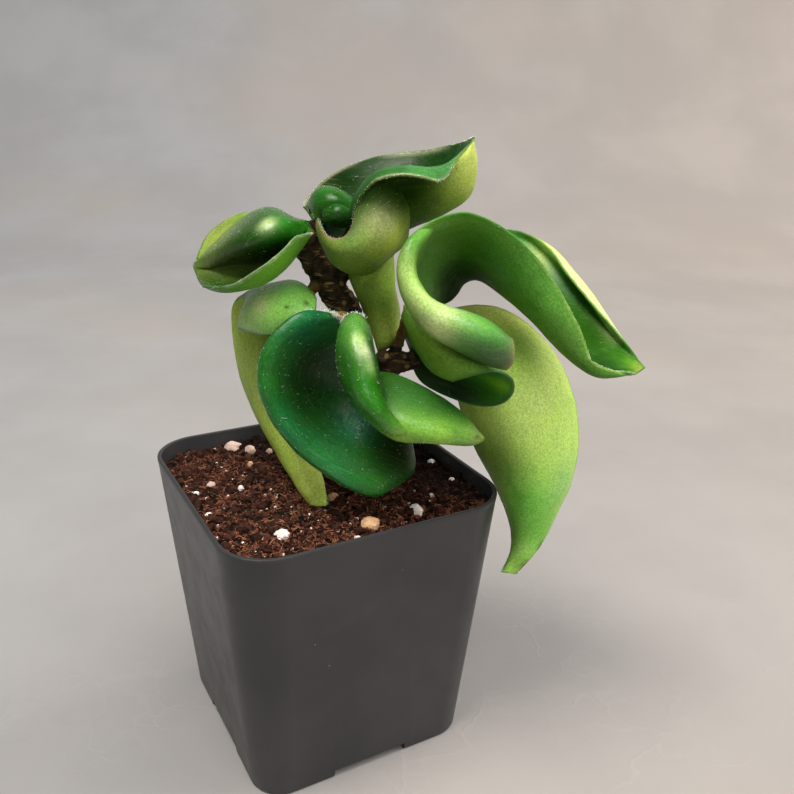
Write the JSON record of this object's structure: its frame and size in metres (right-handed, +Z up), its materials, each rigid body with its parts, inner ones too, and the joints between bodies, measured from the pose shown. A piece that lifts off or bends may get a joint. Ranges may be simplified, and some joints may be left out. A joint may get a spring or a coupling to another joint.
{
  "type": "potted hoya plant",
  "caption": "Small rope hoya with thick curled glossy leaves on a knobby stem, in a square tapered nursery pot of coir soil dotted with perlite.",
  "frame": {"origin": "centre of the pot's flat underside", "axes": "+Z up along the pot's axis, -Y out of the pot face that shows large in the picture, -X out of the face beside it on the picture's left"},
  "size_m": [0.0839, 0.0781, 0.1367],
  "materials": {
    "pot": "satin",
    "soil": "matte",
    "stem": "matte",
    "dark_leaf": "gloss",
    "light_leaf": "satin",
    "perlite": "matte",
    "bark": "matte"
  },
  "bodies": {
    "root": {"pot": "pot", "soil": "soil", "stem": "stem", "leaf_crown": "dark_leaf", "leaf_apron": "light_leaf", "leaf_beak": "dark_leaf", "leaf_tail": "light_leaf", "leaf_cup": "dark_leaf", "leaf_spoon": "dark_leaf", "leaf_arch": "light_leaf", "leaf_droop": "light_leaf", "perlite_1": "perlite", "perlite_2": "perlite", "perlite_3": "perlite", "perlite_4": "perlite", "perlite_5": "perlite", "perlite_6": "perlite", "perlite_7": "perlite", "perlite_8": "perlite", "perlite_9": "perlite", "perlite_10": "perlite", "perlite_11": "perlite", "perlite_12": "perlite", "perlite_13": "perlite", "perlite_14": "perlite", "perlite_15": "perlite", "perlite_16": "perlite", "perlite_17": "perlite", "perlite_18": "perlite", "perlite_19": "perlite", "perlite_20": "perlite", "perlite_21": "perlite", "perlite_22": "perlite", "perlite_23": "perlite", "perlite_24": "perlite", "bark_1": "bark", "bark_2": "bark", "bark_3": "bark", "bark_4": "bark"}
  },
  "joints": []
}
